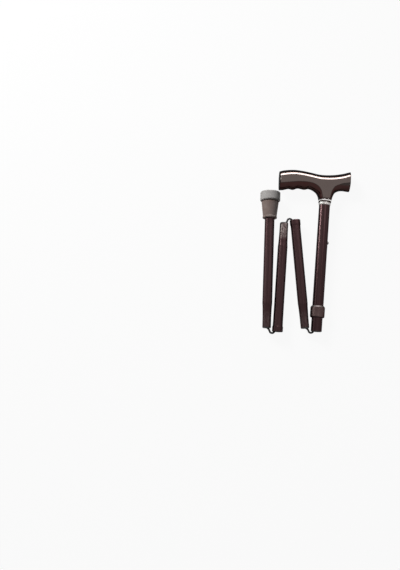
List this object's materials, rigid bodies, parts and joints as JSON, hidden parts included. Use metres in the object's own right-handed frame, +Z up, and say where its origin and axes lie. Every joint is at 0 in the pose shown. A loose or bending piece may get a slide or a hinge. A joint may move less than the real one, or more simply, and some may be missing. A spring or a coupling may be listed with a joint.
{
  "type": "folding cane",
  "caption": "Folding walking cane with a moulded T-handle, lock collar, height button, tapered plug joints on an elastic cord and a flanged rubber tip, stored folded and lying down.",
  "frame": {"origin": "middle of the bottom of the bounding box, on the table that the folded cane lies on", "axes": "+Y along the folded tubes towards the handle, +X from the rubber tip towards the beak of the handle, +Z up from the table"},
  "size_m": [0.1708, 0.3128, 0.0377],
  "materials": {
    "handle_plastic": "gloss moulded",
    "tube_paint": "gloss metallic lacquer",
    "collar_plastic": "semi-gloss",
    "ring_metal": "polished",
    "steel": "plain",
    "black_plastic": "moulded",
    "cord": "braided",
    "tip_rubber": "matte"
  },
  "bodies": {
    "handle_section": {"handle": "handle_plastic", "neck_ring": "ring_metal", "handle_pin": "steel", "upper_tube": "tube_paint"},
    "collar": {"collar": "collar_plastic", "collar_bush": "black_plastic"},
    "adjuster": {"inner_tube": "tube_paint", "inner_tube_bush": "black_plastic", "button_spring": "steel", "socket_sleeve": "tube_paint", "cord_anchor_top": "black_plastic", "inner_cord": "cord"},
    "snap_button": {"snap_button": "steel"},
    "cord_bend_1": {"cord_bend_1": "cord"},
    "second_section": {"second_tube": "tube_paint", "second_plug_cap": "black_plastic", "second_socket_ring": "tube_paint", "second_cord": "cord"},
    "cord_bend_2": {"cord_bend_2": "cord"},
    "third_section": {"third_tube": "tube_paint", "third_plug_cap": "black_plastic", "third_socket_ring": "tube_paint", "third_cord": "cord"},
    "cord_bend_3": {"cord_bend_3": "cord"},
    "tip_section": {"tip_tube": "tube_paint", "tip_plug_cap": "black_plastic", "tip_cord": "cord", "cord_anchor_bottom": "black_plastic", "tip_washer": "steel", "rubber_tip": "tip_rubber"}
  },
  "joints": [
    {"name": "collar_turn", "type": "hinge", "parent": "handle_section", "child": "collar", "pos_m": [0.02181, -0.11337, 0.01332], "axis": [-0.0701, -0.9975, -0.009], "range_deg": [0, 270]},
    {"name": "height_adjust", "type": "slide", "parent": "handle_section", "child": "adjuster", "axis": [-0.0701, -0.9975, -0.009], "range_m": [0, 0.096]},
    {"name": "button_press", "type": "slide", "parent": "adjuster", "child": "snap_button", "axis": [-0.9969, 0.0698, 0.0354], "range_m": [0, 0.0034], "stiffness_N_per_m": 300, "deforming": ["button_spring"]},
    {"name": "fold_1", "type": "hinge", "parent": "adjuster", "child": "cord_bend_1", "pos_m": [0.0093, -0.14954, 0.01334], "axis": [0.0347, -0.0114, 0.9993], "range_deg": [0, 170.7], "deforming": ["inner_cord", "cord_bend_1"]},
    {"name": "seat_1", "type": "slide", "parent": "cord_bend_1", "child": "second_section", "axis": [0.0919, -0.9957, -0.0146], "range_m": [0, 0.0455]},
    {"name": "fold_2", "type": "hinge", "parent": "second_section", "child": "cord_bend_2", "pos_m": [-0.02985, 0.05811, 0.01707], "axis": [-0.0347, 0.0114, -0.9993], "range_deg": [0, 171.4], "deforming": ["second_cord", "cord_bend_2"]},
    {"name": "seat_2", "type": "slide", "parent": "cord_bend_2", "child": "third_section", "axis": [0.0579, 0.9983, 0.0094], "range_m": [0, 0.0455]},
    {"name": "fold_3", "type": "hinge", "parent": "third_section", "child": "cord_bend_3", "pos_m": [-0.06195, -0.15178, 0.01579], "axis": [0.0347, -0.0114, 0.9993], "range_deg": [0, 177.9], "deforming": ["third_cord", "cord_bend_3"]},
    {"name": "seat_3", "type": "slide", "parent": "cord_bend_3", "child": "tip_section", "axis": [-0.0213, -0.9997, -0.0107], "range_m": [0, 0.0455], "deforming": ["tip_cord"]}
  ],
  "couplings": [
    {"joint": "fold_2", "follows": "fold_1", "ratio": 1.0041},
    {"joint": "fold_3", "follows": "fold_1", "ratio": 1.0422},
    {"joint": "seat_2", "follows": "seat_1", "ratio": 1},
    {"joint": "seat_3", "follows": "seat_1", "ratio": 1}
  ]
}
